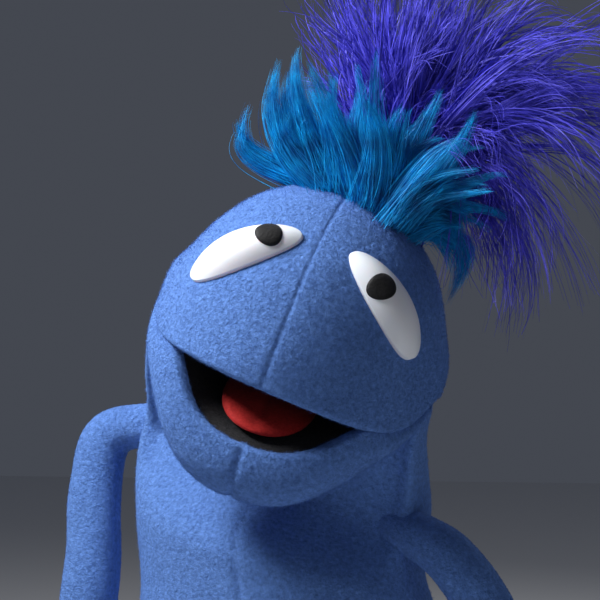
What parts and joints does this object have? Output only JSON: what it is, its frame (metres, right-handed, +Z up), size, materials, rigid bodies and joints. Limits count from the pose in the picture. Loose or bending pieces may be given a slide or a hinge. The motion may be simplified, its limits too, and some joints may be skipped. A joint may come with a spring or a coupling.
{
  "type": "hand puppet",
  "caption": "Blue fleece mouth puppet with an open-bottomed sleeve body, opening jaw with red tongue, slanted oval eyes, fur crest with feathers, and two jointed stuffed arms.",
  "frame": {"origin": "the bottom middle of the whole puppet's bounding box, on the floor the hem stands on", "axes": "+Z up, the puppet's face toward -Y, its viewer's right toward +X"},
  "size_m": [0.3811, 0.1808, 0.5543],
  "materials": {
    "blue_fleece": "napped",
    "foam": "open cell",
    "black_felt": "matt felt",
    "red_felt": "smooth felt",
    "white_satin": "satin",
    "black_button": "gloss",
    "turquoise_fur": "long pile",
    "indigo_feather": "soft feather",
    "fibre_board": "matt",
    "webbing": "woven",
    "stuffing": "loose fill"
  },
  "bodies": {
    "torso": {"torso_foam": "foam", "torso_fleece_left": "blue_fleece", "torso_fleece_right": "blue_fleece", "hem_band": "blue_fleece"},
    "chest": {"chest_foam": "foam", "chest_fleece_left": "blue_fleece", "chest_fleece_right": "blue_fleece"},
    "neck": {"neck_collar": "foam"},
    "head": {"skull_foam": "foam", "face_fleece_left": "blue_fleece", "face_fleece_right": "blue_fleece", "back_fleece": "blue_fleece", "nape_foam": "foam", "nape_fleece": "blue_fleece", "roof_board": "fibre_board", "roof_felt": "black_felt", "finger_strap": "webbing", "eye_left": "white_satin", "eye_right": "white_satin", "pupil_left": "black_button", "pupil_right": "black_button", "crest_backing": "webbing", "fur_ruff": "turquoise_fur", "feather_1": "indigo_feather", "feather_2": "indigo_feather", "feather_3": "indigo_feather", "feather_4": "indigo_feather", "feather_5": "indigo_feather"},
    "jaw": {"jaw_foam": "foam", "jaw_fleece_left": "blue_fleece", "jaw_fleece_right": "blue_fleece", "floor_board": "fibre_board", "floor_felt": "black_felt", "thumb_strap": "webbing", "tongue": "red_felt"},
    "arm_root_left": {"arm_knot_left": "webbing"},
    "shoulder_left": {"shoulder_left": "blue_fleece"},
    "upper_arm_left": {"upper_arm_sleeve_left": "blue_fleece", "upper_arm_core_left": "stuffing"},
    "forearm_left": {"forearm_sleeve_left": "blue_fleece", "forearm_core_left": "stuffing"},
    "hand_left": {"mitten_left": "blue_fleece", "thumb_left": "blue_fleece"},
    "arm_root_right": {"arm_knot_right": "webbing"},
    "shoulder_right": {"shoulder_right": "blue_fleece"},
    "upper_arm_right": {"upper_arm_sleeve_right": "blue_fleece", "upper_arm_core_right": "stuffing"},
    "forearm_right": {"forearm_sleeve_right": "blue_fleece", "forearm_core_right": "stuffing"},
    "hand_right": {"mitten_right": "blue_fleece", "thumb_right": "blue_fleece"}
  },
  "joints": [
    {"name": "chest_lean", "type": "hinge", "parent": "torso", "child": "chest", "pos_m": [-0.04775, 0.02536, 0.277], "axis": [0, 1, 0], "range_deg": [-30, 5]},
    {"name": "head_turn", "type": "hinge", "parent": "chest", "child": "neck", "pos_m": [-0.05868, 0.03336, 0.28204], "axis": [0.342, 0, 0.9397], "range_deg": [-35, 15]},
    {"name": "head_nod", "type": "hinge", "parent": "neck", "child": "head", "pos_m": [-0.05868, 0.03336, 0.28204], "axis": [0.9397, 0, -0.342], "range_deg": [-12, 12]},
    {"name": "jaw_open", "type": "hinge", "parent": "head", "child": "jaw", "pos_m": [-0.0409, -0.00464, 0.33091], "axis": [0.9397, 0, -0.342], "range_deg": [-21, 12]},
    {"name": "arm_hang_left", "type": "hinge", "parent": "chest", "child": "arm_root_left", "pos_m": [-0.13325, 0.04436, 0.298], "axis": [0, 1, 0], "range_deg": [-5, 30]},
    {"name": "shoulder_swing_left", "type": "hinge", "parent": "arm_root_left", "child": "shoulder_left", "pos_m": [-0.13925, 0.04436, 0.296], "axis": [-0.9075, 0.1328, -0.3984], "range_deg": [-20, 60]},
    {"name": "arm_raise_left", "type": "hinge", "parent": "shoulder_left", "child": "upper_arm_left", "pos_m": [-0.15975, 0.04736, 0.287], "axis": [0, 1, 0], "range_deg": [0, 60]},
    {"name": "elbow_bend_left", "type": "hinge", "parent": "upper_arm_left", "child": "forearm_left", "pos_m": [-0.16275, 0.03936, 0.208], "axis": [-1, 0, 0], "range_deg": [0, 60]},
    {"name": "wrist_bend_left", "type": "hinge", "parent": "forearm_left", "child": "hand_left", "pos_m": [-0.16875, 0.02936, 0.138], "axis": [-1, 0, 0], "range_deg": [-30, 30]},
    {"name": "arm_hang_right", "type": "hinge", "parent": "chest", "child": "arm_root_right", "pos_m": [0.03075, 0.00736, 0.24], "axis": [0, 1, 0], "range_deg": [-5, 30]},
    {"name": "shoulder_swing_right", "type": "hinge", "parent": "arm_root_right", "child": "shoulder_right", "pos_m": [0.03625, 0.00636, 0.237], "axis": [-0.8805, 0.1761, 0.4402], "range_deg": [-20, 60]},
    {"name": "arm_raise_right", "type": "hinge", "parent": "shoulder_right", "child": "upper_arm_right", "pos_m": [0.05625, 0.00236, 0.227], "axis": [0, -1, 0], "range_deg": [0, 60]},
    {"name": "elbow_bend_right", "type": "hinge", "parent": "upper_arm_right", "child": "forearm_right", "pos_m": [0.07425, -0.00264, 0.173], "axis": [-1, 0, 0], "range_deg": [0, 60]},
    {"name": "wrist_bend_right", "type": "hinge", "parent": "forearm_right", "child": "hand_right", "pos_m": [0.08725, -0.01064, 0.113], "axis": [-1, 0, 0], "range_deg": [-30, 30]}
  ],
  "couplings": [
    {"joint": "arm_hang_left", "follows": "chest_lean", "ratio": -1},
    {"joint": "arm_hang_right", "follows": "chest_lean", "ratio": -1}
  ]
}
